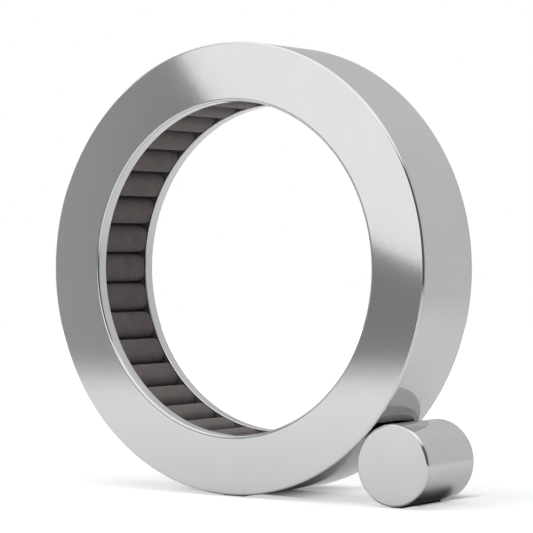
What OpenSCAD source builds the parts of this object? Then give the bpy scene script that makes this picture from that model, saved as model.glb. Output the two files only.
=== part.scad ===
// Ring-shaped jewelry organizer: a polished hoop that stands on edge against a round foot.
// Padded rolls line the bore all the way round, and finger rings are pushed in between them.
// Millimetres. +X points from the hoop to its foot, +Y away from the front face, +Z up.
// The origin is on the table, under the middle of the hoop.

/* [Hoop] */
// Outside diameter of the hoop
ring_d = 220; // [190:1:280]
// Width of the flat face between the outer edge and the bore
face_w = 28.8; // [27:0.1:40]
// Depth of the hoop, from its front face to its back face
ring_depth = 45; // [40:0.5:60]
// Thickness of the rolled outer band
band_t = 1.2; // [0.8:0.1:2]
// Thickness of each stamped face plate
plate_t = 1.5; // [1:0.1:2.5]
// Radius of the rolled-over edges of the face plates and of the foot's caps
edge_r = 1.2; // [0.3:0.1:1.3]

/* [Lips] */
// Width of the polished lip at each end of the bore, with the face plate's thickness
lip_w = 6.3; // [5:0.1:9]
// Thickness of the lip's collar
lip_t = 1.2; // [0.8:0.1:1.6]
// Thickness of the flange that is clamped behind the face plate
lip_flange_t = 1; // [0.8:0.1:1.5]
// How far the flange reaches outwards from the collar
lip_flange_w = 6; // [3:0.5:9]
// Radius of the lip's edge towards the rolls
lip_edge_r = 0.4; // [0.2:0.1:0.6]
// Width of the lip's rim that shows inside the bore of the face plate
lip_rim = 1; // [0.6:0.1:1.2]
// How far this rim lies below the front of the face plate
rim_sink = 0.1; // [0:0.1:0.5]
// Bevel on the inner edge of the rim
rim_bevel = 0.3; // [0.1:0.1:0.4]

/* [Padded rolls] */
// Number of rolls round the bore
roll_count = 36; // [30:1:40]
// How far the crest of a roll lies below the lips
roll_recess = 0.3; // [0.3:0.1:3]
// Height of a roll from its base to its crest
roll_h = 12.8; // [10:0.1:13.2]
// Width of the slot between two rolls
slot_w = 0.6; // [0.4:0.1:1.5]
// Radius of the crown across a roll
crown_r = 18; // [12:0.5:30]
// Radius of the shoulder between the crown and the side of a roll
shoulder_r = 2.7; // [2:0.1:4]
// How far the rounded end of a roll is pressed flat against the channel wall
end_round = 4; // [3:0.1:5.8]
// Gap between a roll's end and the wall of the channel
end_gap = 0.3; // [0.2:0.05:1]
// Thickness of the felt liner under the rolls
liner_t = 1; // [0.6:0.1:2]

/* [Moulded core] */
// Wall of the channel that holds the rolls, and of the core's outer rim
core_t = 1.8; // [1.2:0.1:2]
// Number of radial webs between the channel and the rim
web_count = 24; // [16:8:32]
// Thickness of each web
web_t = 1.6; // [1:0.1:2.5]
// Thickness of the middle web that runs round the core
mid_web_t = 2; // [1.2:0.1:3]
// Outside diameter of the bosses that take the studs
boss_d = 7; // [6:0.1:8]
// Length of each boss
boss_len = 13; // [11:0.5:15]

/* [Foot] */
// Outside diameter of the foot
foot_d = 38.6; // [34:0.2:60]
// How far each end of the foot lies inside the hoop's face
foot_inset = 1; // [0:0.5:2.5]
// Wall of the foot's tube
foot_wall = 1.2; // [0.8:0.1:2]
// Thickness of the foot's end caps
foot_cap_t = 1.5; // [1:0.1:2.5]
// Length of the spigot that centres each cap in the tube
spigot_len = 3; // [2:0.5:4]
// Wall of the spigot
spigot_t = 2.8; // [1.5:0.1:4]
// Bevel on the two ends of the ballast slug
ballast_bevel = 1; // [0.5:0.1:2]

/* [Fixings] */
// Number of studs on the back of each face plate
stud_count = 8; // [4:4:8]
// Diameter of each stud
stud_d = 3.6; // [3:0.1:4]
// Length of each stud
stud_len = 9; // [6:0.5:10]
// Diameter of the two screws that hold the foot
screw_d = 4; // [3:0.5:5]
// Length of these screws under the head
screw_len = 16; // [14:1:20]
// Diameter of the screw heads
head_d = 7; // [6:0.1:9]
// Height of the screw heads
head_h = 2.4; // [1.8:0.1:3]
// Depth of the hex socket in each head
socket_depth = 1.4; // [1:0.1:1.6]
// Width across the flats of the hex socket
socket_w = 2.5; // [2:0.1:3]
// Distance between the two screws
screw_spacing = 22; // [16:1:26]
// Thickness of the curved saddle plate under the screw heads
saddle_t = 2; // [1.4:0.1:2.4]
// Width of the saddle plate round the hoop
saddle_w = 22; // [14:1:24]
// Length of the saddle plate along the hoop's axis
saddle_len = 34; // [32:1:35]
// Depth of the flat that is cut in the saddle plate for each screw head
spot_face = 0.3; // [0.1:0.1:0.8]

/* [Table pads] */
// Thickness of the pads, which is how far the metal stands above the table
pad_lift = 0.6; // [0.5:0.1:1.5]
// Width of the pad under the hoop
ring_pad_w = 12; // [8:0.5:16]
// Width of the pad under the foot
foot_pad_w = 6; // [4:0.5:8]
// How far the pads end inside the front and back of what they carry
pad_inset = 4; // [2:0.5:8]

/* [Fit clearances] */
// Between curved pieces that seat in each other
slip = 0.1; // [0.05:0.05:0.3]
// Between the soft rolls and their liner
soft_gap = 0.2; // [0.1:0.05:0.5]
// Film of glue between the table pads and the metal
glue_gap = 0.05; // [0.02:0.01:0.2]
// Round the screws, where they pass through the sheet metal
screw_gap = 0.2; // [0.1:0.05:0.5]
// Round the studs and screws in the holes that hold them
thread_gap = 0.05; // [0.02:0.01:0.1]
// Round the saddle plate in the core's pocket
pocket_gap = 1; // [0.5:0.5:2]

/* [Hidden] */
$fn = 96;
over = 1;

ring_r = ring_d / 2;
bore_r = ring_r - face_w;
plate_in_r = bore_r + lip_rim;
half_depth = ring_depth / 2;
band_half = half_depth - plate_t;
band_in_r = ring_r - band_t;
channel_half = half_depth - lip_w;
plate_edge = min(edge_r, 0.9 * plate_t);
cap_edge = min(edge_r, 0.9 * foot_cap_t);

pitch = 360 / roll_count;
slot_tan = tan(pitch / 2);
slot_cos = cos(pitch / 2);

// Half the width of a roll at a given distance from the hoop's axis
function roll_side(r) = r * slot_tan - slot_w / 2 / slot_cos;

crest_r = bore_r + roll_recess;
base_r = crest_r + roll_h;
base_corner_r = norm([base_r, roll_side(base_r)]);
liner_in_r = base_corner_r + soft_gap;
floor_r = liner_in_r + liner_t + slip;
floor_out_r = floor_r + core_t;
rim_out_r = band_in_r - slip;
rim_in_r = rim_out_r - core_t;
boss_circle_r = (floor_out_r + rim_in_r) / 2;
lip_seat_r = bore_r + lip_t + slip;
web_end = band_half - lip_flange_t - slip;

roll_half = channel_half - end_gap;
round_start = roll_half - end_round;

foot_r = foot_d / 2;
foot_len = ring_depth - 2 * foot_inset;
ring_z = ring_r + pad_lift;
foot_z = foot_r + pad_lift;
centre_gap = ring_r + foot_r + slip;
foot_x = sqrt(pow(centre_gap, 2) - pow(ring_z - foot_z, 2));
foot_angle = -asin((ring_z - foot_z) / centre_gap);
tube_half = foot_len / 2 - foot_cap_t;
tube_in_r = foot_r - foot_wall;
ballast_r = tube_in_r - slip;
ballast_half = tube_half - spigot_len - slip;
saddle_r = band_in_r - slip;
head_seat_r = saddle_r - saddle_t + spot_face;

// The shoulder circle touches the side of the roll, and the crown's circle from inside
crown_x = crest_r + crown_r;
shoulder_off = (slot_w / 2 + shoulder_r) / slot_cos;
shoulder_b = crown_x + slot_tan * shoulder_off;
shoulder_a = 1 + pow(slot_tan, 2);
shoulder_c = pow(crown_x, 2) + pow(shoulder_off, 2) - pow(crown_r - shoulder_r, 2);
shoulder_x = (shoulder_b - sqrt(pow(shoulder_b, 2) - shoulder_a * shoulder_c)) / shoulder_a;
shoulder_y = shoulder_x * slot_tan - shoulder_off;
shoulder_reach = crown_r / (crown_r - shoulder_r);

function roll_name(i) = str("roll_", i < 10 ? "0" : "", i);

FIXED_NODES = [
    "outer_band", "front_plate", "back_plate", "front_lip", "back_lip",
    "core_frame", "channel_liner", "front_studs", "back_studs", "saddle_plate",
    "foot_tube", "foot_front_cap", "foot_back_cap", "foot_ballast", "foot_screws",
    "ring_pad", "foot_pad"
];

// Puts a shape that was turned about Z onto the hoop's axis, with its +Z away from the front
module on_ring_axis() {
    translate([0, 0, ring_z])
        rotate([-90, 0, 0])
            children();
}

// The same for the foot's axis
module on_foot_axis() {
    translate([foot_x, 0, foot_z])
        rotate([-90, 0, 0])
            children();
}

// Turns a shape that lies on +X round the hoop's axis, upwards for a positive angle
module round_ring(angle) {
    translate([0, 0, ring_z])
        rotate([0, -angle, 0])
            children();
}

// Makes the matching piece for the back of the hoop or of the foot
module to_back() {
    mirror([0, 1, 0])
        children();
}

// A closed ring between two radii, from one height to another
module annulus(inner, outer, low, high) {
    translate([0, 0, low])
        difference() {
            cylinder(r = outer, h = high - low);
            translate([0, 0, -over])
                cylinder(r = inner, h = high - low + 2 * over);
        }
}

// What is taken off a square corner to roll it over. The corner points to +X and -Y.
module corner_cut(edge) {
    difference() {
        translate([-edge, -over])
            square([edge + over, edge + over]);
        translate([-edge, edge])
            circle(r = edge);
    }
}

// Section of a sheet disc or ring with a rolled-over outer edge and the front face at -Y.
// The edge of its bore is rounded too, when it has one.
module rolled_section(inner, outer, thick, edge, inner_edge) {
    difference() {
        translate([inner, -thick])
            square([outer - inner, thick]);
        translate([outer, -thick])
            corner_cut(edge);
        if (inner_edge > 0)
            translate([inner, -thick])
                mirror([1, 0])
                    corner_cut(inner_edge);
    }
}

module outer_band() {
    color("gainsboro")
        difference() {
            on_ring_axis()
                annulus(band_in_r, ring_r, -band_half, band_half);
            foot_screw_holes(screw_d / 2 + screw_gap);
        }
}

module face_plate() {
    on_ring_axis()
        translate([0, 0, -band_half])
            rotate_extrude($fn = 180)
                rolled_section(plate_in_r, ring_r, plate_t, plate_edge, rim_bevel);
}

module front_plate() {
    color("silver")
        face_plate();
}

module back_plate() {
    color("silver")
        to_back()
            face_plate();
}

// Polished collar that lines the end of the bore. Its flange is clamped behind the face plate,
// and its rim comes through the bore of the plate.
module lip() {
    on_ring_axis()
        translate([0, 0, -band_half])
            rotate_extrude($fn = 180) {
                translate([bore_r, 0])
                    square([lip_t, band_half - channel_half - lip_edge_r]);
                translate([bore_r + lip_edge_r, 0])
                    square([lip_t - lip_edge_r, band_half - channel_half]);
                translate([bore_r + lip_edge_r, band_half - channel_half - lip_edge_r])
                    circle(r = lip_edge_r);
                translate([bore_r, 0])
                    square([lip_t + lip_flange_w, lip_flange_t]);
                translate([bore_r, rim_sink - plate_t])
                    polygon([
                        [rim_bevel, 0],
                        [lip_rim - slip, 0],
                        [lip_rim - slip, plate_t],
                        [0, plate_t],
                        [0, rim_bevel]
                    ]);
            }
}

module front_lip() {
    color("whitesmoke")
        lip();
}

module back_lip() {
    color("whitesmoke")
        to_back()
            lip();
}

// Angles of the webs, turned by half a step so that none meets the foot's screws
web_step = 360 / web_count;
stud_step = 360 / stud_count;

module boss() {
    translate([boss_circle_r, 0, band_half - boss_len])
        cylinder(d = boss_d, h = boss_len);
}

module boss_hole() {
    translate([boss_circle_r, 0, band_half - stud_len - over])
        cylinder(d = stud_d + 2 * thread_gap, h = stud_len + 2 * over);
}

// Everything that repeats round the core at the studs, at the front and at the back
module at_studs() {
    for (i = [0 : stud_count - 1])
        rotate([0, 0, (i + 0.5) * stud_step])
            children();
}

module core_frame() {
    color("dimgray")
        difference() {
            on_ring_axis()
                difference() {
                    union() {
                        annulus(floor_r, floor_out_r, -channel_half - core_t, channel_half + core_t);
                        annulus(lip_seat_r, floor_out_r, channel_half, channel_half + core_t);
                        annulus(lip_seat_r, floor_out_r, -channel_half - core_t, -channel_half);
                        annulus(rim_in_r, rim_out_r, -band_half + slip, band_half - slip);
                        annulus(floor_out_r - core_t / 2, rim_in_r + core_t / 2,
                            -mid_web_t / 2, mid_web_t / 2);
                        core_webs();
                        at_studs()
                            boss();
                        mirror([0, 0, 1])
                            at_studs()
                                boss();
                    }
                    at_studs()
                        boss_hole();
                    mirror([0, 0, 1])
                        at_studs()
                            boss_hole();
                }
            saddle_pocket();
        }
}

// Radial webs that stiffen the channel and carry the rim
module core_webs() {
    difference() {
        for (i = [0 : web_count - 1])
            rotate([0, 0, (i + 0.5) * web_step])
                translate([lip_seat_r + core_t, -web_t / 2, -web_end])
                    cube([rim_in_r + core_t / 2 - lip_seat_r - core_t, web_t, 2 * web_end]);
        annulus(0, floor_r + core_t / 2, -channel_half - core_t / 2, channel_half + core_t / 2);
    }
}

// Room in the core for the saddle plate and the screw heads behind the foot
module saddle_pocket() {
    round_ring(foot_angle)
        translate([floor_out_r, -saddle_len / 2 - pocket_gap, -saddle_w / 2 - pocket_gap])
            cube([ring_r - floor_out_r, saddle_len + 2 * pocket_gap, saddle_w + 2 * pocket_gap]);
}

module channel_liner() {
    color("#2b2726")
        on_ring_axis()
            annulus(liner_in_r, liner_in_r + liner_t, -channel_half + end_gap, channel_half - end_gap);
}

module plate_studs() {
    on_ring_axis()
        at_studs()
            translate([boss_circle_r, 0, -band_half])
                cylinder(d = stud_d, h = stud_len);
}

module front_studs() {
    color("darkgray")
        plate_studs();
}

module back_studs() {
    color("darkgray")
        to_back()
            plate_studs();
}

// Places a child that points along +X on each of the two screw axes, from hoop to foot
module at_foot_screws() {
    for (side = [-1, 1])
        round_ring(foot_angle)
            translate([0, side * screw_spacing / 2, 0])
                rotate([0, 90, 0])
                    children();
}

module foot_screw_holes(hole_r) {
    at_foot_screws()
        translate([0, 0, saddle_r - saddle_t - over])
            cylinder(r = hole_r, h = head_seat_r + screw_len + over - saddle_r + saddle_t + over);
}

// Curved plate inside the band that spreads the pull of the screws
module saddle_plate() {
    color("darkgray")
        difference() {
            intersection() {
                on_ring_axis()
                    annulus(saddle_r - saddle_t, saddle_r, -saddle_len / 2, saddle_len / 2);
                round_ring(foot_angle)
                    translate([0, -saddle_len / 2 - over, -saddle_w / 2])
                        cube([ring_r, saddle_len + 2 * over, saddle_w]);
            }
            foot_screw_holes(screw_d / 2 + screw_gap);
            at_foot_screws()
                translate([0, 0, head_seat_r - saddle_t - over])
                    cylinder(d = head_d + 2 * screw_gap, h = saddle_t + over);
        }
}

module foot_screws() {
    color("slategray")
        at_foot_screws()
            difference() {
                union() {
                    translate([0, 0, head_seat_r])
                        cylinder(d = screw_d, h = screw_len);
                    translate([0, 0, head_seat_r - head_h])
                        cylinder(d = head_d, h = head_h);
                }
                translate([0, 0, head_seat_r - head_h - over])
                    cylinder(d = socket_w / cos(30), h = socket_depth + over, $fn = 6);
            }
}

module foot_tube() {
    color("gainsboro")
        difference() {
            on_foot_axis()
                annulus(tube_in_r, foot_r, -tube_half, tube_half);
            foot_screw_holes(screw_d / 2 + screw_gap);
        }
}

// End cap with a rolled-over edge and a spigot that centres it in the tube
module foot_cap() {
    on_foot_axis()
        translate([0, 0, -tube_half]) {
            rotate_extrude()
                rolled_section(0, foot_r, foot_cap_t, cap_edge, 0);
            annulus(ballast_r - spigot_t, ballast_r, -foot_cap_t / 2, spigot_len);
        }
}

module foot_front_cap() {
    color("silver")
        foot_cap();
}

module foot_back_cap() {
    color("silver")
        to_back()
            foot_cap();
}

module foot_ballast() {
    color("#4a4a4c")
        difference() {
            on_foot_axis()
                rotate_extrude()
                    polygon([
                        [0, -ballast_half],
                        [ballast_r - ballast_bevel, -ballast_half],
                        [ballast_r, -ballast_half + ballast_bevel],
                        [ballast_r, ballast_half - ballast_bevel],
                        [ballast_r - ballast_bevel, ballast_half],
                        [0, ballast_half]
                    ]);
            foot_screw_holes(screw_d / 2 + thread_gap);
        }
}

// Thin pad with a flat sole on the table and a top that follows the round metal above it
module table_pad(x, radius, width, length) {
    difference() {
        translate([x - width / 2, -length / 2, 0])
            cube([width, length, radius / 2]);
        translate([x, 0, radius + pad_lift])
            rotate([90, 0, 0])
                cylinder(r = radius + glue_gap, h = length + 2 * over, center = true, $fn = 360);
    }
}

module ring_pad() {
    color("#39393b")
        table_pad(0, ring_r, ring_pad_w, ring_depth - 2 * pad_inset);
}

module foot_pad() {
    color("#39393b")
        table_pad(foot_x, foot_r, foot_pad_w, foot_len - 2 * pad_inset);
}

// Half of a roll's section, from its middle to its side. X runs outwards from the hoop's axis.
module half_section() {
    intersection() {
        translate([crown_x, 0])
            circle(r = crown_r, $fn = 180);
        polygon([
            [shoulder_x, 0],
            [shoulder_x, shoulder_y],
            [crown_x + (shoulder_x - crown_x) * shoulder_reach, shoulder_y * shoulder_reach],
            [crest_r - over, shoulder_y * shoulder_reach],
            [crest_r - over, 0]
        ]);
    }
    translate([shoulder_x, shoulder_y])
        intersection() {
            circle(r = shoulder_r);
            translate([-shoulder_r, -shoulder_y])
                square([2 * shoulder_r, shoulder_y + shoulder_r]);
        }
    polygon([
        [shoulder_x, 0],
        [shoulder_x, shoulder_y],
        [shoulder_x - shoulder_r * sin(pitch / 2), shoulder_y + shoulder_r * slot_cos],
        [base_r, roll_side(base_r)],
        [base_r, 0]
    ]);
}

// One padded roll on +X: a straight middle and two rounded ends, pressed flat at the walls
module roll_form() {
    intersection() {
        union() {
            rotate([90, 0, 0])
                linear_extrude(2 * round_start, center = true) {
                    half_section();
                    mirror([0, 1])
                        half_section();
                }
            for (side = [-1, 1])
                translate([0, side * round_start, 0])
                    rotate([0, 90, 0])
                        rotate([0, 0, (1 - side) * 90])
                            rotate_extrude(angle = 180)
                                rotate([0, 0, 90])
                                    mirror([0, 1])
                                        half_section();
        }
        translate([crest_r - over, -roll_half, -roll_h])
            cube([roll_h + 2 * over, 2 * roll_half, 2 * roll_h]);
    }
}

module roll(i) {
    color(i % 2 == 0 ? "#5a5251" : "#544d4c")
        round_ring((i - 1) * pitch)
            roll_form();
}

outer_band();
front_plate();
back_plate();
front_lip();
back_lip();
core_frame();
channel_liner();
front_studs();
back_studs();
saddle_plate();
foot_tube();
foot_front_cap();
foot_back_cap();
foot_ballast();
foot_screws();
ring_pad();
foot_pad();
for (i = [1 : roll_count])
    roll(i);
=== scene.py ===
"""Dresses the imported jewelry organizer: a polished steel hoop that stands on edge against a round foot.

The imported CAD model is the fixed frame. Most of its pieces keep their meshes and get their finishes here.
The face plates, the lips and the foot's caps are turned again with finer edges. The padded rolls and the
felt strip under them are made as fabric pieces, in the places that their CAD solids hold. Everything is in
metres, in the frame of the CAD: +X from the hoop to its foot, +Y away from the front, +Z up.
"""

import logging
import math
from dataclasses import dataclass, field
from enum import Enum

import bmesh
import bpy
from mathutils import Euler, Matrix, Vector, noise


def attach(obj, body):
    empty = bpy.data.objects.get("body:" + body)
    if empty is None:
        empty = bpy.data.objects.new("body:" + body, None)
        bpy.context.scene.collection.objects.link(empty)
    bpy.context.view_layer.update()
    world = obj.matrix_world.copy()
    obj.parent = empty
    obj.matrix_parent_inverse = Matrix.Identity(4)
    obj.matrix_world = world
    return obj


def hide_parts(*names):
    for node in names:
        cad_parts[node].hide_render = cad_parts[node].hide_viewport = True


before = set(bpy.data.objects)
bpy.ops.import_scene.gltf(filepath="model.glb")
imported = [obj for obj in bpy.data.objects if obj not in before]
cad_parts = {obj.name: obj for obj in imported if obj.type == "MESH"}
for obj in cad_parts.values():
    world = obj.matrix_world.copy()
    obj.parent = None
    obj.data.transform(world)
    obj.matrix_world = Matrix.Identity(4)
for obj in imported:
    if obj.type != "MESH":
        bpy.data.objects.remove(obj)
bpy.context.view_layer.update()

LOG = logging.getLogger("organizer")

MM = 0.001
SLACK = 1e-6
WELD = 1e-7

Place = tuple[float, float, float]
Colour = tuple[float, float, float]
Levels = tuple[tuple[float, float], ...]


def grey(level: float) -> tuple[float, float, float, float]:
    """Gives an even grey as a node's colour."""
    return (level, level, level, 1)


WHITE = grey(1)
BLACK = grey(0)


class Side(Enum):
    """The two faces of the hoop and of its foot, by the sign of Y."""

    FRONT = -1
    BACK = 1


class Grain(Enum):
    """The way that a metal's fine polishing marks run, by the scale of their noise along X, Y and Z."""

    AROUND = (60.0, 5200.0, 60.0)
    MOTTLED = (420.0, 420.0, 420.0)


@dataclass(frozen=True)
class HoopSizes:
    """Sizes of the hoop and its rolls: the CAD's own, and those of its finer edges and of the felt."""

    outer_radius: float = 110 * MM
    bore_radius: float = 81.2 * MM
    plate_bore: float = 82.2 * MM
    half_depth: float = 22.5 * MM
    axis_height: float = 110.6 * MM
    channel_half: float = 16.2 * MM
    roll_count: int = 36
    crest_radius: float = 81.5 * MM
    base_radius: float = 94.3 * MM
    crown_radius: float = 18 * MM
    roll_half: float = 15.9 * MM
    end_round: float = 4 * MM
    slot_width: float = 0.6 * MM
    felt_radius: float = 94.84 * MM
    felt_thickness: float = 0.95 * MM
    plate_thickness: float = 1.5 * MM
    lip_thickness: float = 1.2 * MM
    flange_reach: float = 6 * MM
    flange_thickness: float = 1 * MM
    lip_edge: float = 0.4 * MM
    rim_width: float = 0.9 * MM
    bore_edge_width: float = 1.4 * MM
    bore_edge_drop: float = 1 * MM
    rolled_edge: float = 1.2 * MM
    seam_edge: float = 0.12 * MM

    @property
    def pitch(self) -> float:
        """Angle from one roll to the next, in radians."""
        return math.tau / self.roll_count

    def roll_side(self, radius: float) -> float:
        """Half the width of a roll at a distance from the hoop's axis."""
        half = self.pitch / 2
        return radius * math.tan(half) - self.slot_width / 2 / math.cos(half)


HOOP = HoopSizes()


@dataclass(frozen=True)
class FootSizes:
    """Sizes of the foot's end caps, as the CAD has them."""

    centre: Place = (92.292 * MM, 0.0, 19.9 * MM)
    radius: float = 19.3 * MM
    half_length: float = 21.5 * MM
    cap_thickness: float = 1.5 * MM
    spigot_length: float = 3 * MM
    spigot_outer: float = 18 * MM
    spigot_inner: float = 15.2 * MM


FOOT = FootSizes()


class NodeGraph:
    """Adds and joins the shader nodes of one material or world."""

    NOISE_ROUGHNESS = 0.55

    def __init__(self, tree: bpy.types.NodeTree) -> None:
        """Starts from an empty tree.

        Args:
            tree: The node tree of a material or of the world.
        """
        self.tree = tree
        tree.nodes.clear()

    def add(self, kind: str, inputs: dict[str | int, object] | None = None,
            **settings: object) -> bpy.types.Node:
        """Adds a node.

        Args:
            kind: The node's type without its ShaderNode prefix.
            inputs: Values for the node's sockets, or sockets that are joined to them.
            settings: Values for the node's own properties.

        Returns:
            The new node.
        """
        node = self.tree.nodes.new(f"ShaderNode{kind}")
        for name, value in settings.items():
            setattr(node, name, value)
        for name, value in (inputs or {}).items():
            if isinstance(value, bpy.types.NodeSocket):
                self.tree.links.new(value, node.inputs[name])
            else:
                node.inputs[name].default_value = value
        return node

    def place(self) -> bpy.types.NodeSocket:
        """Gives the piece's own coordinates."""
        return self.add("TexCoord").outputs["Object"]

    def math(self, operation: str, *values: object) -> bpy.types.NodeSocket:
        """Joins numbers and sockets by a Math node, in the order of its inputs."""
        return self.add("Math", dict(enumerate(values)), operation=operation).outputs[0]

    def rise(self, value: bpy.types.NodeSocket, limits: tuple[float, float],
             levels: tuple[float, float] = (0.0, 1.0), smooth: bool = False) -> bpy.types.NodeSocket:
        """Turns a range of values into levels, which stay as they are past its ends.

        Args:
            value: The socket with the value.
            limits: The values at which the level starts and ends.
            levels: The levels there.
            smooth: Whether the level eases in and out.

        Returns:
            The socket with the level.
        """
        node = self.add("MapRange", {"Value": value, "From Min": limits[0], "From Max": limits[1],
                                     "To Min": levels[0], "To Max": levels[1]},
                        interpolation_type="SMOOTHSTEP" if smooth else "LINEAR")
        return node.outputs[0]

    def blend(self, factor: object, first: object, second: object) -> bpy.types.NodeSocket:
        """Blends two colours; the factor is how much of the second one shows."""
        return self.add("Mix", {0: factor, 6: first, 7: second}, data_type="RGBA").outputs[2]

    def ramp(self, factor: bpy.types.NodeSocket, stops: list[tuple[float, float]]) -> bpy.types.NodeSocket:
        """Turns a value from 0 to 1 into greys.

        Args:
            factor: The socket with the value.
            stops: Places from 0 to 1, each with its grey.

        Returns:
            The socket with the grey.
        """
        node = self.add("ValToRGB", {0: factor})
        elements = node.color_ramp.elements
        while len(elements) < len(stops):
            elements.new(0.5)
        for element, (place, level) in zip(elements, stops):
            element.position = place
            element.color = grey(level)
        return node.outputs[0]

    def noise(self, place: bpy.types.NodeSocket, scale: float, detail: float) -> bpy.types.NodeSocket:
        """Adds a noise; the scale is its waves for each metre, the detail how many finer ones lie on it."""
        return self.add("TexNoise", {"Vector": place, "Scale": scale, "Detail": detail,
                                     "Roughness": self.NOISE_ROUGHNESS}).outputs[0]

    def bump(self, height: bpy.types.NodeSocket, depth: float, strength: float = 1.0) -> bpy.types.Node:
        """Adds a relief of a depth in metres."""
        return self.add("Bump", {"Height": height, "Strength": strength, "Distance": depth})

    def glow(self, level: object, colour: object = WHITE) -> bpy.types.Node:
        """Adds a plain glow."""
        return self.add("Emission", {"Color": colour, "Strength": level})

    def finish(self, shader: bpy.types.Node, output: str = "OutputMaterial") -> None:
        """Joins the last shader to the output of the material or the world."""
        self.add(output, {"Surface": shader.outputs[0]})


def new_material(name: str) -> tuple[bpy.types.Material, NodeGraph]:
    """Makes an empty node material.

    Args:
        name: The material's name.

    Returns:
        The material and the graph of its nodes.
    """
    material = bpy.data.materials.new(name)
    material.use_nodes = True
    return material, NodeGraph(material.node_tree)


@dataclass(frozen=True)
class MetalFinish:
    """A polished or satin metal, with faint waves, polishing marks and a little haze."""

    name: str
    tone: float
    haze: float
    haze_spread: float
    grain: Grain
    pale: Colour = (1.02, 1.02, 1.022)
    dull: Colour = (0.97, 0.97, 0.975)
    cloud_scale: float = 55.0
    wave_scale: float = 230.0
    wave_depth: float = 1.2e-6
    mark_depth: float = 4e-8

    def material(self) -> bpy.types.Material:
        """Makes the material.

        Returns:
            The material.
        """
        material, graph = new_material(self.name)
        place = graph.place()
        light, dark = ((*(self.tone * share for share in shares), 1) for shares in (self.pale, self.dull))
        colour = graph.blend(graph.noise(place, self.cloud_scale, 3.0), light, dark)
        along = graph.add("Mapping", {"Vector": place, "Scale": self.grain.value})
        marks = graph.noise(along.outputs[0], 1.0, 2.0)
        haze = graph.math("MULTIPLY_ADD", marks, self.haze_spread, self.haze - self.haze_spread / 2)
        waves = graph.bump(graph.noise(place, self.wave_scale, 2.0), self.wave_depth)
        marked = graph.bump(marks, self.mark_depth)
        graph.tree.links.new(waves.outputs[0], marked.inputs["Normal"])
        graph.finish(graph.add("BsdfPrincipled", {
            "Base Color": colour, "Metallic": 1.0, "Roughness": haze, "Normal": marked.outputs[0]}))
        return material


@dataclass(frozen=True)
class FabricFinish:
    """Suede or felt: short fibres, a soft nap with darker and lighter patches, and a faint sheen. Where
    asked, shade is painted darker beside the slots between rolls.
    """

    name: str
    light: Colour
    dark: Colour
    fibre_scale: float
    fibre_depth: float
    sheen: float
    painted_shade_width: float = 0.0
    painted_slot_shade: float = 0.05
    patch_scale: float = 170.0
    nap_scale: float = 900.0
    patch_share: float = 0.45
    nap_share: float = 0.35
    fibre_share: float = 0.3
    shade_limits: tuple[float, float] = (0.38, 0.72)
    roughness: float = 0.82
    roughness_spread: float = 0.15
    fibre_relief: float = 0.6
    nap_relief: float = 0.4
    relief: float = 0.8
    specular: float = 0.2
    sheen_roughness: float = 0.45
    sheen_tint: Colour = (0.72, 0.68, 0.67)

    def material(self) -> bpy.types.Material:
        """Makes the material.

        Returns:
            The material.
        """
        material, graph = new_material(self.name)
        place = graph.place()
        patches = graph.noise(place, self.patch_scale, 3.0)
        nap = graph.noise(place, self.nap_scale, 4.0)
        fibres = graph.noise(place, self.fibre_scale, 5.0)
        shade = graph.math("MULTIPLY", nap, self.nap_share)
        for waves, share in ((patches, self.patch_share), (fibres, self.fibre_share)):
            shade = graph.math("MULTIPLY_ADD", waves, share, shade)
        colour = graph.blend(graph.rise(shade, self.shade_limits), (*self.dark, 1), (*self.light, 1))
        # Painted shade: the colour is darkened beside each slot between rolls, where the slot falls into
        # shadow.
        if self.painted_shade_width:
            painted_slot_shade = (*(self.painted_slot_shade * level for level in self.dark), 1)
            colour = graph.blend(self.painted_slot_shade_mask(graph, place), colour, painted_slot_shade)
        height = graph.math("MULTIPLY_ADD", fibres, self.fibre_relief,
                            graph.math("MULTIPLY", nap, self.nap_relief))
        graph.finish(graph.add("BsdfPrincipled", {
            "Base Color": colour, "Specular IOR Level": self.specular,
            "Roughness": graph.math("MULTIPLY_ADD", nap, self.roughness_spread, self.roughness),
            "Normal": graph.bump(height, self.fibre_depth, self.relief).outputs[0],
            "Sheen Weight": self.sheen, "Sheen Roughness": self.sheen_roughness,
            "Sheen Tint": (*self.sheen_tint, 1)}))
        return material

    def painted_slot_shade_mask(self, graph: NodeGraph, place: bpy.types.NodeSocket) -> bpy.types.NodeSocket:
        """Gives how near a point lies to a slot between two rolls, where shade is painted darker into the
        colour.

        Args:
            graph: The material's nodes.
            place: The piece's coordinates.

        Returns:
            The socket with the value, 1 at the slot and 0 away from it.
        """
        parts = graph.add("SeparateXYZ", {0: place}).outputs
        height = graph.math("SUBTRACT", parts[2], HOOP.axis_height)
        turned = graph.math("MULTIPLY_ADD", graph.math("ARCTAN2", height, parts[0]), 1 / HOOP.pitch,
                            HOOP.roll_count + 0.5)
        off = graph.math("ABSOLUTE", graph.math("SUBTRACT", graph.math("FRACT", turned), 0.5))
        reach = self.painted_shade_width / (HOOP.pitch * HOOP.crest_radius)
        return graph.rise(off, (0.5 - reach, 0.5), smooth=True)


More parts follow.
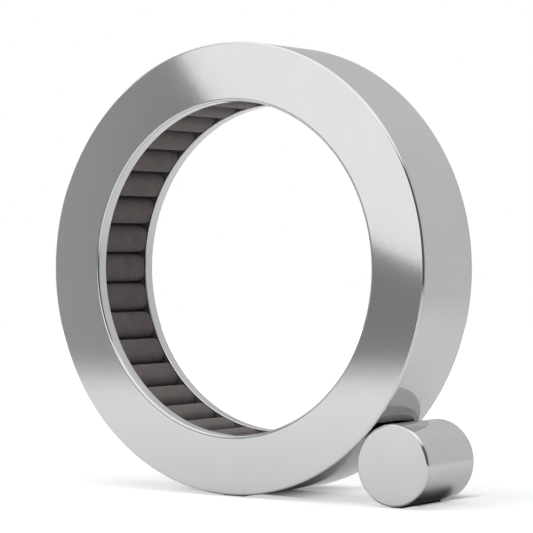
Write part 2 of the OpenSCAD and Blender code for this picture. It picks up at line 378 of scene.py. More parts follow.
@dataclass(frozen=True)
class MouldedFinish:
    """A moulded or cast surface: plastic, rubber or iron, with a fine pebbled skin."""

    name: str
    light: Colour
    dark: Colour
    roughness: float
    pebble_scale: float
    pebble_depth: float
    metallic: float = 0.0
    roughness_spread: float = 0.2
    patch_scale: float = 120.0
    relief: float = 0.6

    def material(self) -> bpy.types.Material:
        """Makes the material.

        Returns:
            The material.
        """
        material, graph = new_material(self.name)
        place = graph.place()
        patches = graph.noise(place, self.patch_scale, 3.0)
        pebbles = graph.noise(place, self.pebble_scale, 3.0)
        rough = graph.math("MULTIPLY_ADD", pebbles, self.roughness_spread,
                           self.roughness - self.roughness_spread / 2)
        graph.finish(graph.add("BsdfPrincipled", {
            "Base Color": graph.blend(patches, (*self.dark, 1), (*self.light, 1)), "Metallic": self.metallic,
            "Roughness": rough, "Normal": graph.bump(pebbles, self.pebble_depth, self.relief).outputs[0]}))
        return material


class Finishes:
    """The finishes of the organizer, each made once."""

    MIRROR_BAND = MetalFinish("mirror_band", 0.61, 0.06, 0.03, Grain.AROUND)
    SATIN_FACE = MetalFinish("satin_face", 0.6, 0.075, 0.03, Grain.MOTTLED)
    BRIGHT_LIP = MetalFinish("bright_lip", 0.62, 0.1, 0.04, Grain.AROUND)
    FOOT_MIRROR = MetalFinish("foot_mirror", 0.61, 0.06, 0.03, Grain.AROUND)
    PLAIN_STEEL = MetalFinish("plain_steel", 0.5, 0.32, 0.08, Grain.MOTTLED)
    # The suede's colour carries painted shade 1.4 mm wide beside each slot.
    ROLL_SUEDE = FabricFinish("roll_suede", (0.150, 0.128, 0.126), (0.092, 0.076, 0.075),
                              4200.0, 5e-5, 0.25, painted_shade_width=1.4 * MM)
    CHANNEL_FELT = FabricFinish("channel_felt", (0.030, 0.026, 0.026), (0.012, 0.010, 0.010),
                                3000.0, 8e-5, 0.1)
    CORE_PLASTIC = MouldedFinish("core_plastic", (0.062, 0.062, 0.064), (0.045, 0.045, 0.047),
                                 0.55, 1800.0, 1e-5)
    CAST_IRON = MouldedFinish("cast_iron", (0.13, 0.13, 0.135), (0.07, 0.07, 0.075),
                              0.6, 1200.0, 4e-5, metallic=0.8)
    PAD_RUBBER = MouldedFinish("pad_rubber", (0.036, 0.036, 0.038), (0.022, 0.022, 0.024),
                               0.75, 2400.0, 2e-5)

    def __init__(self) -> None:
        """Starts with no material made."""
        self.made: dict[str, bpy.types.Material] = {}

    def get(self, finish: MetalFinish | FabricFinish | MouldedFinish) -> bpy.types.Material:
        """Gives the material of a finish, and makes it when it is first asked for.

        Args:
            finish: The finish.

        Returns:
            Its material.
        """
        if finish.name not in self.made:
            self.made[finish.name] = finish.material()
        return self.made[finish.name]


def dress_node(name: str, material: bpy.types.Material) -> None:
    """Gives a CAD node its material, with its mesh as it is.

    Args:
        name: The CAD node's name.
        material: Its finish.
    """
    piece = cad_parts[name]
    for slot in piece.material_slots:
        slot.material = material
    LOG.info("%s dressed with %s", name, material.name)


def new_piece(name: str, mesh: bpy.types.Mesh, material: bpy.types.Material) -> bpy.types.Object:
    """Makes a smooth piece of the object from a finished mesh.

    Args:
        name: The piece's name.
        mesh: Its mesh, in place.
        material: Its finish.

    Returns:
        The new object, which rides with the organizer's body.
    """
    mesh.name = name
    mesh.materials.clear()
    mesh.materials.append(material)
    mesh.polygons.foreach_set("use_smooth", [True] * len(mesh.polygons))
    piece = bpy.data.objects.new(name, mesh)
    bpy.context.scene.collection.objects.link(piece)
    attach(piece, "root")
    return piece


def round_edges(shape: bmesh.types.BMesh, edges: list[bmesh.types.BMEdge], radius: float,
                segments: int) -> None:
    """Rounds the edges of a shape.

    Args:
        shape: The shape.
        edges: Its edges to round.
        radius: How far the rounding reaches from the edge.
        segments: How many faces run across it.
    """
    bmesh.ops.bevel(shape, geom=edges, offset=radius, offset_type="OFFSET", segments=segments, profile=0.5,
                    affect="EDGES", material=-1)


def mesh_from(shape: bmesh.types.BMesh, name: str) -> bpy.types.Mesh:
    """Turns a bmesh with outward normals into a mesh and frees it.

    Args:
        shape: The bmesh.
        name: The mesh's name.

    Returns:
        The mesh.
    """
    mesh = bpy.data.meshes.new(name)
    shape.to_mesh(mesh)
    shape.free()
    return mesh


@dataclass(frozen=True)
class Corner:
    """A corner of a turned piece's section: its radius, its distance from the middle plane, its rounding."""

    radius: float
    depth: float
    rounding: float = 0.0


@dataclass(frozen=True)
class TurnedPiece:
    """A ring or disc that is turned from a section, whose corners are then rolled over or broken."""

    centre: Place
    section: tuple[Corner, ...]
    steps: int = 360
    segments: int = 8
    sharp_angle: float = math.radians(35)

    def build(self, node: str, side: Side, material: bpy.types.Material, slot: str) -> None:
        """Builds the piece on one side of the middle plane, in the place of its CAD node.

        Args:
            node: The CAD node that the piece stands for.
            side: The side of the middle plane.
            material: Its finish.
            slot: Not used.
        """
        shape = bmesh.new()
        axis = Vector(self.centre)
        places = [axis + Vector((corner.radius, side.value * corner.depth, 0)) for corner in self.section]
        ring = [bmesh.ops.create_vert(shape, co=place)["vert"][0] for place in places]
        for first, second in zip(ring, ring[1:] + ring[:1]):
            shape.edges.new((first, second))
        bmesh.ops.spin(shape, geom=ring + shape.edges[:], cent=axis, axis=(0, 1, 0), dvec=(0, 0, 0),
                       angle=math.tau, steps=self.steps, use_merge=True, use_duplicate=False)
        bmesh.ops.remove_doubles(shape, verts=shape.verts[:], dist=WELD)
        bmesh.ops.recalc_face_normals(shape, faces=shape.faces[:])
        for corner in self.section:
            if corner.rounding:
                edges = [edge for edge in shape.edges if self.runs_round(edge, corner, side)]
                round_edges(shape, edges, corner.rounding, self.segments)
        for edge in shape.edges:
            edge.smooth = edge.calc_face_angle(0.0) < self.sharp_angle
        piece = new_piece(f"turned_{node}", mesh_from(shape, node), material)
        even = piece.modifiers.new("even_shading", "WEIGHTED_NORMAL")
        even.keep_sharp = True
        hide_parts(node)
        LOG.info("%s turned with %d faces", piece.name, len(piece.data.polygons))

    def runs_round(self, edge: bmesh.types.BMEdge, corner: Corner, side: Side) -> bool:
        """Tells whether an edge is part of a corner's ring.

        Args:
            edge: The edge.
            corner: The corner.
            side: The side of the middle plane that the piece is on.

        Returns:
            True where both its ends lie on the corner's ring.
        """
        offs = [vert.co - Vector(self.centre) for vert in edge.verts]
        return all(abs(off.y - side.value * corner.depth) <= SLACK
                   and abs(math.hypot(off.x, off.z) - corner.radius) <= SLACK for off in offs)


@dataclass
class HoopShell:
    """The steel of the hoop: its rolled band, two face plates and the bright lips of the bore."""

    finishes: Finishes
    hoop: HoopSizes = HOOP
    edge_steps: int = 8

    def build(self) -> None:
        """Dresses the band, and turns the plates and the lips on both sides."""
        dress_node("outer_band", self.finishes.get(Finishes.MIRROR_BAND))
        for side in Side:
            name = side.name.lower()
            self.plate().build(f"{name}_plate", side, self.finishes.get(Finishes.SATIN_FACE), "satin_steel")
            self.lip().build(f"{name}_lip", side, self.finishes.get(Finishes.BRIGHT_LIP), "mirror_steel")

    def bore_edge(self, inner: float, outer: float) -> list[Corner]:
        """Gives points of the rolled-over edge of the bore, which the lip's rim and the face plate share.

        Args:
            inner: The radius that they start from.
            outer: The radius that they end at.

        Returns:
            The points, from the inner radius outwards.
        """
        hoop = self.hoop
        centre = hoop.bore_radius + hoop.bore_edge_width
        start, end = (math.asin((centre - radius) / hoop.bore_edge_width) for radius in (inner, outer))
        turns = [start + (end - start) * step / self.edge_steps for step in range(self.edge_steps + 1)]
        return [Corner(centre - hoop.bore_edge_width * math.sin(turn),
                       hoop.half_depth - hoop.bore_edge_drop * (1 - math.cos(turn))) for turn in turns]

    def plate(self) -> TurnedPiece:
        """Gives a face plate, rolled over at its outer edge.

        Returns:
            The plate, ready to be built.
        """
        hoop = self.hoop
        inside = hoop.half_depth - hoop.plate_thickness
        return TurnedPiece((0, 0, hoop.axis_height), (
            *self.bore_edge(hoop.plate_bore, hoop.bore_radius + hoop.bore_edge_width),
            Corner(hoop.outer_radius, hoop.half_depth, hoop.rolled_edge),
            Corner(hoop.outer_radius, inside, hoop.seam_edge),
            Corner(hoop.plate_bore, inside, hoop.seam_edge)))

    def lip(self) -> TurnedPiece:
        """Gives a lip: its crowned rim, its collar, and the flange behind the face plate.

        Returns:
            The lip, ready to be built.
        """
        hoop = self.hoop
        top = hoop.half_depth - hoop.plate_thickness
        collar = hoop.bore_radius + hoop.lip_thickness
        rim_outer = hoop.bore_radius + hoop.rim_width
        return TurnedPiece((0, 0, hoop.axis_height), (
            *self.bore_edge(hoop.bore_radius, rim_outer),
            Corner(rim_outer, top),
            Corner(collar + hoop.flange_reach, top),
            Corner(collar + hoop.flange_reach, top - hoop.flange_thickness),
            Corner(collar, top - hoop.flange_thickness),
            Corner(collar, hoop.channel_half),
            Corner(hoop.bore_radius, hoop.channel_half, hoop.lip_edge)))


@dataclass
class HiddenCore:
    """What the shell closes in: the moulded core and studs, the foot's saddle plate, screws and ballast."""

    finishes: Finishes
    steel: tuple[str, ...] = ("front_studs", "back_studs", "saddle_plate", "foot_screws")

    def build(self) -> None:
        """Dresses the CAD nodes of the core."""
        dress_node("core_frame", self.finishes.get(Finishes.CORE_PLASTIC))
        dress_node("foot_ballast", self.finishes.get(Finishes.CAST_IRON))
        for name in self.steel:
            dress_node(name, self.finishes.get(Finishes.PLAIN_STEEL))


@dataclass
class Foot:
    """The round foot beside the hoop: a polished tube and its two satin caps."""

    finishes: Finishes
    foot: FootSizes = FOOT
    hoop: HoopSizes = HOOP
    cap_steps: int = 240

    def build(self) -> None:
        """Dresses the tube, and turns the caps at both ends."""
        dress_node("foot_tube", self.finishes.get(Finishes.FOOT_MIRROR))
        for side in Side:
            self.cap().build(f"foot_{side.name.lower()}_cap", side, self.finishes.get(Finishes.SATIN_FACE),
                             "satin_steel")

    def cap(self) -> TurnedPiece:
        """Gives an end cap: a rolled-over disc and the spigot that centres it in the tube.

        Returns:
            The cap, ready to be built.
        """
        foot = self.foot
        inside = foot.half_length - foot.cap_thickness
        return TurnedPiece(foot.centre, (
            Corner(0, foot.half_length),
            Corner(foot.radius, foot.half_length, self.hoop.rolled_edge),
            Corner(foot.radius, inside, self.hoop.seam_edge),
            Corner(foot.spigot_outer, inside),
            Corner(foot.spigot_outer, inside - foot.spigot_length),
            Corner(foot.spigot_inner, inside - foot.spigot_length),
            Corner(foot.spigot_inner, inside),
            Corner(0, inside)), steps=self.cap_steps)


@dataclass
class TablePads:
    """The thin non-slip pads between the metal and the table."""

    finishes: Finishes
    names: tuple[str, ...] = ("ring_pad", "foot_pad")

    def build(self) -> None:
        """Dresses the CAD nodes of the pads."""
        for name in self.names:
            dress_node(name, self.finishes.get(Finishes.PAD_RUBBER))


@dataclass
class FeltStrip:
    """The felt strip that lies on the channel's floor, under the rolls, with its butt joint at the bottom."""

    finishes: Finishes
    hoop: HoopSizes = HOOP
    steps: int = 180
    rows: int = 12
    side_gap: float = 0.35 * MM
    joint: float = 0.4 * MM
    waver: float = 0.03 * MM
    waver_scale: float = 160.0

    def build(self) -> None:
        """Builds the strip by turning its width once round the hoop's axis."""
        shape = bmesh.new()
        half = self.hoop.channel_half - self.side_gap
        radius = self.hoop.felt_radius + self.hoop.felt_thickness / 2
        axis = Vector((0, 0, self.hoop.axis_height))
        bmesh.ops.create_vert(shape, co=axis + Vector((0, -half, -radius)))
        bmesh.ops.spin(shape, geom=shape.verts[:], cent=axis, axis=(0, 1, 0), angle=0, steps=self.rows,
                       dvec=(0, 2 * half / self.rows, 0), use_duplicate=False)
        bmesh.ops.spin(shape, geom=shape.verts[:] + shape.edges[:], cent=axis, axis=(0, 1, 0),
                       angle=math.tau - self.joint / radius, steps=self.steps, dvec=(0, 0, 0),
                       use_duplicate=False)
        bmesh.ops.remove_doubles(shape, verts=shape.verts[:], dist=SLACK)
        bmesh.ops.recalc_face_normals(shape, faces=shape.faces[:])
        for vert in shape.verts:
            outward = self.outward(vert, axis).normalized()
            vert.co += outward * self.waver * noise.noise(vert.co * self.waver_scale)
        bmesh.ops.solidify(shape, geom=shape.faces[:], thickness=self.hoop.felt_thickness - 2 * self.waver)
        bmesh.ops.recalc_face_normals(shape, faces=shape.faces[:])
        self.centre(shape, axis, radius)
        strip = new_piece("channel_felt_strip", mesh_from(shape, "channel_felt_strip"),
                          self.finishes.get(Finishes.CHANNEL_FELT))
        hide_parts("channel_liner")
        LOG.info("felt strip built with %d faces", len(strip.data.polygons))

    @staticmethod
    def outward(vert: bmesh.types.BMVert, axis: Vector) -> Vector:
        """Gives the way from the hoop's axis straight out to a point of the strip."""
        return (vert.co - axis) * Vector((1, 0, 1))

    def centre(self, shape: bmesh.types.BMesh, axis: Vector, radius: float) -> None:
        """Shifts the strip outwards or inwards so that its middle lies at the radius.

        Args:
            shape: The strip.
            axis: A point on the hoop's axis.
            radius: The radius of the strip's middle.
        """
        reach = [self.outward(vert, axis).length for vert in shape.verts]
        shift = radius - (min(reach) + max(reach)) / 2
        for vert in shape.verts:
            vert.co += self.outward(vert, axis).normalized() * shift


@dataclass
class PaddedRolls:
    """The ring of padded suede rolls.

    A roll is made once on +X for each pattern: a rounded block is remeshed, blown up as cloth at thirty times
    its size, and brought back inside the space that its CAD solid holds. Each place round the bore gets one
    of the patterns, with its own small waves.
    """

    finishes: Finishes
    hoop: HoopSizes = HOOP
    patterns: int = 6
    pattern_step: int = 5
    shrink: float = 0.45 * MM
    base_gap: float = 0.2 * MM
    corner: float = 2.0 * MM
    corner_segments: int = 5
    shoulder: float = 3.4 * MM
    end_edge: float = 1.3 * MM
    end_segments: int = 4
    rim_reach: float = 0.3 * MM
    cell: float = 0.8 * MM
    still_depth: float = 0.6 * MM
    wave: float = 0.08 * MM
    block_wave_scale: float = 150.0
    noise_seed: int = 1
    block_seed: Place = (3.1, 7.7, 1.3)
    place_wave_scale: float = 110.0
    place_seed: Place = (0.37, 1.9, 5.3)
    wave_offset: float = 0.5
    free_depth: float = 4 * MM
    blow_up: float = 30.0
    frames: int = 20
    pressure: float = 4.0
    glue_depth: float = 0.9 * MM
    cloth_quality: int = 5
    cloth_shrink: float = -0.03
    cloth_bending: float = 0.3
    swell_cap: float = 0.75 * MM
    skin: float = 0.05 * MM
    spare: float = 0.2 * MM
    pressed: float = 1.6 * MM
    press_depth: float = 0.5 * MM
    press_spare: float = 0.1 * MM
    fold_depth: float = 0.12 * MM
    fold_count: int = 11
    fold_reach: float = 2.5 * MM
    fold_turn: float = 1.7
    fold_lean: float = 0.6
    made: list[bpy.types.Mesh] = field(default_factory=list)

    def block(self, number: int) -> bpy.types.Mesh:
        """Makes the block that a roll starts from, a little smaller than the roll.

        Args:
            number: The pattern's number, which sets its small waves.

        Returns:
            The block's mesh, remeshed into even cells.
        """
        hoop = self.hoop
        shape = bmesh.new()
        bmesh.ops.create_cube(shape, size=2)
        top, base = hoop.crest_radius + self.shrink, hoop.base_radius - self.base_gap
        for vert in shape.verts:
            radius = top if vert.co.x < 0 else base
            width = hoop.roll_side(radius) - self.shrink
            vert.co = Vector((radius, vert.co.y * (hoop.roll_half + self.pressed), vert.co.z * width))
        upright = [edge for edge in shape.edges
                   if abs(edge.verts[0].co.x - edge.verts[1].co.x) > (base - top) / 2]
        round_edges(shape, upright, self.corner, self.corner_segments)
        rim = [edge for edge in shape.edges
               if all(abs(vert.co.x - top) < self.rim_reach for vert in edge.verts)]
        round_edges(shape, rim, self.end_edge, self.end_segments)
        mesh = self.even_cells(mesh_from(shape, "block"))
        seed = Vector([step * number for step in self.block_seed])
        for vert in mesh.vertices:
            if vert.co.x <= base - self.still_depth:
                vert.co += noise.noise_vector(vert.co * self.block_wave_scale + seed) * self.wave
        return mesh

    def even_cells(self, block: bpy.types.Mesh) -> bpy.types.Mesh:
        """Remeshes the block into even cells.

        Args:
            block: The block's mesh.

        Returns:
            The new mesh.
        """
        solid = bpy.data.objects.new("block", block)
        bpy.context.scene.collection.objects.link(solid)
        remesh = solid.modifiers.new("cells", "REMESH")
        remesh.mode = "VOXEL"
        remesh.voxel_size = self.cell
        evaluated = solid.evaluated_get(bpy.context.evaluated_depsgraph_get())
        mesh = bpy.data.meshes.new_from_object(evaluated)
        bpy.data.objects.remove(solid)
        return mesh

    def blow(self, mesh: bpy.types.Mesh) -> bpy.types.Mesh:
        """Swells the block as cloth under pressure, with its base glued down.

        Args:
            mesh: The block's mesh.

        Returns:
            The swollen mesh, with as many points in the same order.
        """
        large = mesh.copy()
        large.transform(Matrix.Scale(self.blow_up, 4))
        piece = bpy.data.objects.new("swelling", large)
        bpy.context.scene.collection.objects.link(piece)
        base = (self.hoop.base_radius - self.glue_depth) * self.blow_up
        glued = piece.vertex_groups.new(name="glued")
        glued.add([vert.index for vert in large.vertices if vert.co.x > base], 1.0, "REPLACE")
        cloth = piece.modifiers.new("cloth", "CLOTH")
        settings = cloth.settings
        settings.quality = self.cloth_quality
        settings.vertex_group_mass = glued.name
        settings.use_pressure = True
        settings.uniform_pressure_force = self.pressure
        settings.effector_weights.gravity = 0
        settings.shrink_min = self.cloth_shrink
        settings.bending_stiffness = self.cloth_bending
        cloth.point_cache.frame_start = 1
        cloth.point_cache.frame_end = self.frames
        for number in range(1, self.frames + 1):
            bpy.context.scene.frame_set(number)
        evaluated = piece.evaluated_get(bpy.context.evaluated_depsgraph_get())
        swollen = bpy.data.meshes.new_from_object(evaluated)
        bpy.context.scene.frame_set(1)
        bpy.data.objects.remove(piece)
        swollen.transform(Matrix.Scale(1 / self.blow_up, 4))
        return swollen

    def crown_at(self, off: float) -> float:
        """Gives how far the crown lies from the hoop's axis, with its rounded shoulders.

        Args:
            off: Distance from the line that runs along the middle of the roll.

        Returns:
            The distance from the hoop's axis.
        """
        hoop = self.hoop
        rise = math.sqrt(max(hoop.crown_radius**2 - off**2, 0))
        past = min(max(off - hoop.roll_side(hoop.crest_radius) + self.shoulder, 0.0), self.shoulder)
        drop = self.shoulder - math.sqrt(self.shoulder**2 - past**2)
        return hoop.crest_radius + hoop.crown_radius - rise + drop

    def seat(self, point: Vector) -> Vector:
        """Brings a point back inside the space of the roll.

        Args:
            point: A point of the swollen roll, with X outwards, Y along the axis and Z across.

        Returns:
            The point, moved in where it stood outside.
        """
        hoop = self.hoop
        radius = min(point.x, hoop.base_radius + self.spare)
        off = min(abs(point.z), hoop.roll_side(radius))
        radius = max(radius, self.crown_at(off) - self.skin)
        return Vector((radius, self.press(point.y), math.copysign(off, point.z)))

    def press(self, along: float) -> float:
        """Gives the place to which the channel's wall presses a point back.

        Args:
            along: The free place of the point along the hoop's axis.

        Returns:
            Its pressed place, which never passes the wall.
        """
        start = self.hoop.roll_half - self.press_depth
        room = self.press_depth + self.press_spare
        past = max(abs(along) - start, 0.0)
        return math.copysign(min(abs(along), start) + room * (1 - math.exp(-past / room)), along)

    def fold(self, point: Vector, number: int) -> float:
        """Gives the depth of the small gathers where the suede is drawn over a roll's end.

        Args:
            point: A point of the roll.
            number: The pattern's number.

        Returns:
            How far the point is drawn in.
        """
        hoop = self.hoop
        spine = hoop.roll_half - hoop.end_round
        past = (abs(point.y) - spine) / hoop.end_round
        if past <= 0:
            return 0.0
        turn = math.atan2(point.z, abs(point.y) - spine)
        lean = math.copysign(self.fold_lean, point.y)
        gather = 0.5 + 0.5 * math.cos(self.fold_count * turn + self.fold_turn * number + lean)
        drop = min(max((point.x - hoop.crest_radius) / self.fold_reach, 0.0), 1.0)
        return self.fold_depth * past * drop * gather**2

    def make_patterns(self) -> None:
        """Makes the patterns: blocks that are swollen, seated in their space and gathered at the ends."""
        noise.seed_set(self.noise_seed)
        for number in range(self.patterns):
            start = self.block(number)
            swollen = self.blow(start)
            for before, vert in zip(start.vertices, swollen.vertices):
                move = vert.co - before.co
                if move.length > self.swell_cap:
                    move *= self.swell_cap / move.length
                vert.co = self.seat(before.co + move)
            swollen.update()
            outwards = [vert.normal.copy() for vert in swollen.vertices]
            for vert, outward in zip(swollen.vertices, outwards):
                vert.co -= outward * self.fold(vert.co, number)
            self.made.append(swollen)
            LOG.info("roll pattern %d has %d points", number, len(swollen.vertices))

    def build(self) -> None:
        """Places a roll at every step round the bore."""
        self.make_patterns()
        for number in range(1, self.hoop.roll_count + 1):
            self.place(number)

    def place(self, number: int) -> None:
        """Places one roll.

        Args:
            number: The roll's number, from 1.
        """
        mesh = self.made[(number * self.pattern_step) % self.patterns].copy()
        if number % 2:
            mesh.transform(Matrix.Scale(-1, 4, (0, 1, 0)))
            mesh.flip_normals()
        seed = Vector([step * number for step in self.place_seed])
        for vert in mesh.vertices:
            free = min(max((self.hoop.base_radius - vert.co.x) / self.free_depth, 0.0), 1.0)
            ripple = noise.noise(vert.co * self.place_wave_scale + seed) + self.wave_offset
            vert.co.x += free * self.wave * ripple
        turn = Matrix.Rotation(-(number - 1) * self.hoop.pitch, 4, "Y")
        mesh.transform(Matrix.Translation((0, 0, self.hoop.axis_height)) @ turn)
        name = f"roll_{number:02d}"
        roll = new_piece(f"padded_{name}", mesh, self.finishes.get(Finishes.ROLL_SUEDE))
        smooth = roll.modifiers.new("smooth", "SUBSURF")
        smooth.levels = smooth.render_levels = 1
        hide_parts(name)
        LOG.info("%s placed with %d points", roll.name, len(mesh.vertices))


@dataclass
class PhotoCamera:
    """The camera at the photograph's place."""

    place: Place = (0.637235, -0.905453, 0.119070)
    tilt: float = math.radians(90 - 0.3918)
    turn: float = math.radians(34.8541)
    lens: float = 151.68
    sensor: float = 36.0
    clip: tuple[float, float] = (0.02, 30.0)

    def build(self) -> None:
        """Makes the camera and sets it as the scene's."""
        data = bpy.data.cameras.new("photo_camera")
        data.lens = self.lens
        data.sensor_width = self.sensor
        data.clip_start, data.clip_end = self.clip
        camera = bpy.data.objects.new("photo_camera", data)
        camera.location = self.place
        camera.rotation_euler = Euler((self.tilt, 0, self.turn))
        bpy.context.scene.collection.objects.link(camera)
        bpy.context.scene.camera = camera


def stage_piece(name: str, shape: bmesh.types.BMesh, material: bpy.types.Material, card: bool) -> None:
    """Adds a piece to the studio.

    Args:
        name: The piece's name.
        shape: Its shape.
        material: Its material.
        card: Whether only mirrors and glass see it.
    """
    piece = bpy.data.objects.new(name, mesh_from(shape, name))
    bpy.context.scene.collection.objects.link(piece)
    piece.data.materials.append(material)
    if card:
        piece.visible_camera = piece.visible_diffuse = piece.visible_shadow = False
        piece.visible_volume_scatter = False
    LOG.info("%s set up in the studio", name)


@dataclass(frozen=True)
class PaintedShadowPatch:
    """The patch of painted shadow on the table, where the hoop and the foot come down to it.

    Each pair gives the distances at which the painted shadow starts to fade and is gone: sideways from the
    contact of the hoop and of the foot, and in front of the middle plane and behind it.
    """

    hoop: tuple[float, float]
    foot: tuple[float, float]
    before: tuple[float, float]
    behind: tuple[float, float]

    def outside_painted_shadow(self, graph: NodeGraph, place: bpy.types.NodeSocket) -> bpy.types.NodeSocket:
        """Gives how far the table lies out of the painted shadow: 0 in the nook, 1 away from it.

        Args:
            graph: The floor's nodes.
            place: Coordinates on the floor.

        Returns:
            The socket with the value.
        """
        parts = graph.add("SeparateXYZ", {0: place}).outputs
        forward = graph.math("MULTIPLY", parts[1], -1.0)
        aside = graph.math("MAXIMUM", graph.rise(forward, self.before, smooth=True),
                           graph.rise(parts[1], self.behind, smooth=True))
        opened = []
        for contact, limits in ((0.0, self.hoop), (FOOT.centre[0], self.foot)):
            away = graph.math("ABSOLUTE", graph.math("SUBTRACT", parts[0], contact))
            opened.append(graph.math("MAXIMUM", graph.rise(away, limits, smooth=True), aside))
        return graph.math("MINIMUM", *opened)


@dataclass(frozen=True)
class Floor:
    """The pale floor.

    The camera sees it dimmed, with a glow that leaves out the nook, so that the nook holds a painted shadow
    and the lamps' shadow elsewhere is softened. Mirrors see it plain, with shade painted dark in the nook,
    and fading out far away.
    """

    radius: float = 2.4
    edges: int = 96
    albedo: float = 0.86
    speckle: float = 0.005
    speckle_scale: float = 700.0
    dim: float = 0.5
    glow: float = 0.6
    # The patch of painted shadow that the camera sees, where the glow is left out.
    camera_painted_shadow: PaintedShadowPatch = PaintedShadowPatch(hoop=(0.0, 0.05), foot=(0.0, 0.009), before=(0.0, 0.01), behind=(0.03, 0.06))
    far: tuple[float, float] = (0.12, 1.4)
    # The patch of painted shade that mirrors see round the contacts.
    mirror_painted_shadow: PaintedShadowPatch = PaintedShadowPatch(hoop=(0.006, 0.045), foot=(0.006, 0.025), before=(0.014, 0.03),
                             behind=(0.01, 0.026))
    left_of_hoop: tuple[float, float] = (0.0, 0.02)
    mirror_glow: float = 0.06
    mirror_centre: Place = (-0.11, -0.25, 0)
    mirror_far: tuple[float, float] = (0.6, 1.28)
    mirror_loss: tuple[float, float] = (0.03, 1.0)

    def build(self) -> None:
        """Builds the floor."""
        shape = bmesh.new()
        bmesh.ops.create_circle(shape, cap_ends=True, segments=self.edges, radius=self.radius)
        material, graph = new_material("pale_floor")
        rays = graph.add("LightPath").outputs
        seen = rays["Is Camera Ray"]
        through = graph.math("MAXIMUM", rays["Is Glossy Ray"], rays["Is Transmission Ray"])
        place = graph.place()
        # For mirrors the floor's colour is painted darker in the nook: painted shade.
        dim_and_painted_shade = graph.math("MAXIMUM", graph.math("MULTIPLY", seen, self.dim),
                            graph.math("MULTIPLY", through, self.mirrored_painted_shade(graph, place)))
        speckled = graph.blend(graph.noise(place, self.speckle_scale, 2.0),
                               grey(self.albedo * (1 - self.speckle)), grey(self.albedo * (1 + self.speckle)))
        matt = graph.add("BsdfDiffuse", {"Color": graph.blend(dim_and_painted_shade, speckled, BLACK)})
        reach = graph.add("VectorMath", {0: place}, operation="LENGTH").outputs["Value"]
        far = graph.rise(reach, self.far)
        # Painted light and shadow: the camera's glow lifts the floor outside the nook and leaves the nook as
        # a painted shadow.
        glow_outside_painted_shadow = graph.math("MULTIPLY_ADD", self.camera_painted_shadow.outside_painted_shadow(graph, place), self.glow, far)
        mirrored = graph.math("MULTIPLY", through, graph.math("MULTIPLY", far, self.mirror_glow))
        glow = graph.glow(graph.math("MULTIPLY_ADD", seen, glow_outside_painted_shadow, mirrored))
        surface = graph.add("AddShader", {0: matt.outputs[0], 1: glow.outputs[0]})
        away = graph.add("VectorMath", {0: place, 1: self.mirror_centre}, operation="DISTANCE")
        loss = graph.rise(away.outputs["Value"], self.mirror_far, self.mirror_loss)
        clear = graph.add("BsdfTransparent")
        graph.finish(graph.add("MixShader", {0: graph.math("MULTIPLY", loss, rays["Is Glossy Ray"]),
                                             1: surface.outputs[0], 2: clear.outputs[0]}))
        stage_piece("pale_floor", shape, material, card=False)

    def mirrored_painted_shade(self, graph: NodeGraph, place: bpy.types.NodeSocket) -> bpy.types.NodeSocket:
        """Gives the shade painted in the nook that mirrors see, which ends under the hoop.

        Args:
            graph: The floor's nodes.
            place: Coordinates on the floor.

        Returns:
            The socket with the value, 1 in the nook and 0 away from it.
        """
        left = graph.math("MULTIPLY", graph.add("SeparateXYZ", {0: place}).outputs[0], -1.0)
        opened = graph.math("MAXIMUM", self.mirror_painted_shadow.outside_painted_shadow(graph, place),
                            graph.rise(left, self.left_of_hoop))
        return graph.math("SUBTRACT", 1.0, opened)


@dataclass(frozen=True)
class Walls:
    """The round wall and the ceiling that the metal mirrors, with a white backdrop and a window at the left.

    Each row of levels goes round in degrees from the front, positive towards the foot. Heights are shares of
    the radius, at which a band starts and ends.
    """

    radius: float = 3.2
    levels: Levels = (
        (-180, 0.74), (-160, 0.66), (-150, 0.58), (-120, 0.62), (-80, 0.62), (-50, 0.47), (-41, 0.445),
        (-38.3, 0.378), (-36.5, 0.31), (-31, 0.29), (-10, 0.3), (15, 0.16), (35, 0.12), (80, 0.12),
        (105, 0.35), (125, 0.68), (145, 0.72), (180, 0.74))
    backdrop: Levels = ((-180, 0.0), (-170, 0.0), (-155, 1.0), (-120, 1.0), (-100, 0.0), (180, 0.0))
    backdrop_top: tuple[float, float] = (0.05, 0.1)
    window: Levels = ((-180, 0.0), (-112, 0.0), (-107, 1.0), (-63, 1.0), (-58, 0.0), (180, 0.0))
    window_sill: tuple[float, float] = (0.19, 0.22)
    window_top: tuple[float, float] = (0.49, 0.52)
    window_level: float = 1.8
    ceiling_edge: tuple[float, float] = (0.64, 0.68)
    ceiling_level: float = 1.45

    def build(self) -> None:
        """Builds the walls."""
        shape = bmesh.new()
        bmesh.ops.create_icosphere(shape, subdivisions=4, radius=self.radius)
        bmesh.ops.reverse_faces(shape, faces=shape.faces[:])
        material, graph = new_material("studio_walls")
        unit = graph.add("VectorMath", {0: graph.place()}, operation="NORMALIZE").outputs[0]
        parts = graph.add("SeparateXYZ", {0: unit}).outputs
        height = parts[2]
        turned = graph.math("ARCTAN2", parts[0], graph.math("MULTIPLY", parts[1], -1.0))
        azimuth = graph.math("MULTIPLY_ADD", turned, 1 / math.tau, 0.5)
        wall, backdrop, window = (
            graph.ramp(azimuth, [(degrees / 360 + 0.5, level) for degrees, level in levels])
            for levels in (self.levels, self.backdrop, self.window))
        colour = graph.blend(graph.rise(height, self.ceiling_edge), wall, grey(self.ceiling_level))
        low = graph.rise(height, self.backdrop_top, (1.0, 0.0))
        colour = graph.blend(graph.math("MULTIPLY", backdrop, low), colour, WHITE)
        pane = graph.math("MULTIPLY", graph.rise(height, self.window_sill),
                          graph.rise(height, self.window_top, (1.0, 0.0)))
        colour = graph.blend(graph.math("MULTIPLY", window, pane), colour, grey(self.window_level))
        graph.finish(graph.glow(1.0, colour))
        stage_piece("studio_walls", shape, material, card=True)


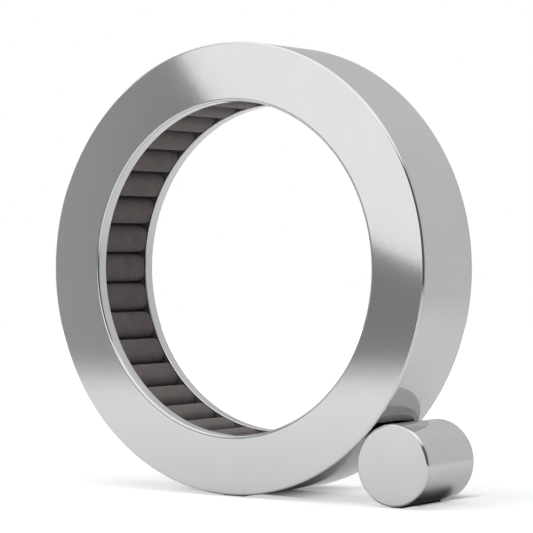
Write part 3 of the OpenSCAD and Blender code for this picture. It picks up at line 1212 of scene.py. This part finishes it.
@dataclass(frozen=True)
class KeyCard:
    """The round card in front of the hoop, which its face mirrors."""

    centre: Place = (-0.1676, -0.7225, 0.5596)
    radius: float = 0.475
    edges: int = 128
    level: float = 1.27
    level_spread: float = 0.08
    weave_scale: float = 3.0

    def build(self) -> None:
        """Builds the card."""
        shape = bmesh.new()
        bmesh.ops.create_circle(shape, cap_ends=True, segments=self.edges, radius=self.radius)
        upright = Matrix.Rotation(math.radians(90), 4, "X")
        bmesh.ops.transform(shape, matrix=Matrix.Translation(self.centre) @ upright, verts=shape.verts[:])
        material, graph = new_material("key_card")
        weave = graph.noise(graph.place(), self.weave_scale, 1.0)
        graph.finish(graph.glow(graph.math("MULTIPLY_ADD", weave, self.level_spread,
                                           self.level - self.level_spread / 2)))
        stage_piece("key_card", shape, material, card=True)


@dataclass(frozen=True)
class Lamp:
    """A soft round lamp that faces the object and isn't mirrored by it."""

    name: str
    place: Place
    size: float
    watts: float
    aim: Place = (0.02, 0, 0.09)

    def build(self) -> None:
        """Makes the lamp."""
        data = bpy.data.lights.new(self.name, "AREA")
        data.shape = "DISK"
        data.size = self.size
        data.energy = self.watts
        lamp = bpy.data.objects.new(self.name, data)
        lamp.location = self.place
        aim = Vector(self.aim) - Vector(self.place)
        lamp.rotation_euler = aim.to_track_quat("-Z", "Y").to_euler()
        lamp.visible_glossy = False
        bpy.context.scene.collection.objects.link(lamp)


@dataclass(frozen=True)
class Studio:
    """A pale studio: a white world and floor, walls and a card that only mirrors see, and two lamps."""

    fill_level: float = 0.5
    pieces: tuple[Floor | Walls | KeyCard | Lamp, ...] = (
        Floor(), Walls(), KeyCard(),
        Lamp("overhead", (-0.05, -0.3, 1.6), size=1.4, watts=14.5),
        Lamp("key", (-0.45, -0.95, 0.85), size=0.8, watts=5.0))

    def build(self) -> None:
        """Builds the world, the floor, the cards and the lamps."""
        self.world()
        for piece in self.pieces:
            piece.build()

    def world(self) -> None:
        """Makes the world white to look at, in mirrors and through glass, and plain as a light."""
        world = bpy.data.worlds.new("studio_world")
        bpy.context.scene.world = world
        world.use_nodes = True
        graph = NodeGraph(world.node_tree)
        rays = graph.add("LightPath").outputs
        seen = graph.math("MAXIMUM", rays["Is Camera Ray"], rays["Is Glossy Ray"])
        seen = graph.math("MAXIMUM", seen, rays["Is Transmission Ray"])
        level = graph.rise(seen, (0.0, 1.0), (self.fill_level, 1.0))
        graph.finish(graph.add("Background", {"Color": WHITE, "Strength": level}), "OutputWorld")


def main() -> None:
    """Builds the camera, every sub-assembly and the studio, in order."""
    logging.basicConfig(level=logging.INFO, format="%(message)s")
    bpy.context.scene.view_settings.view_transform = "Standard"
    PhotoCamera().build()
    finishes = Finishes()
    for part in (HoopShell, HiddenCore, Foot, TablePads, FeltStrip, PaddedRolls):
        part(finishes).build()
    Studio().build()


if __name__ == "__main__":
    main()
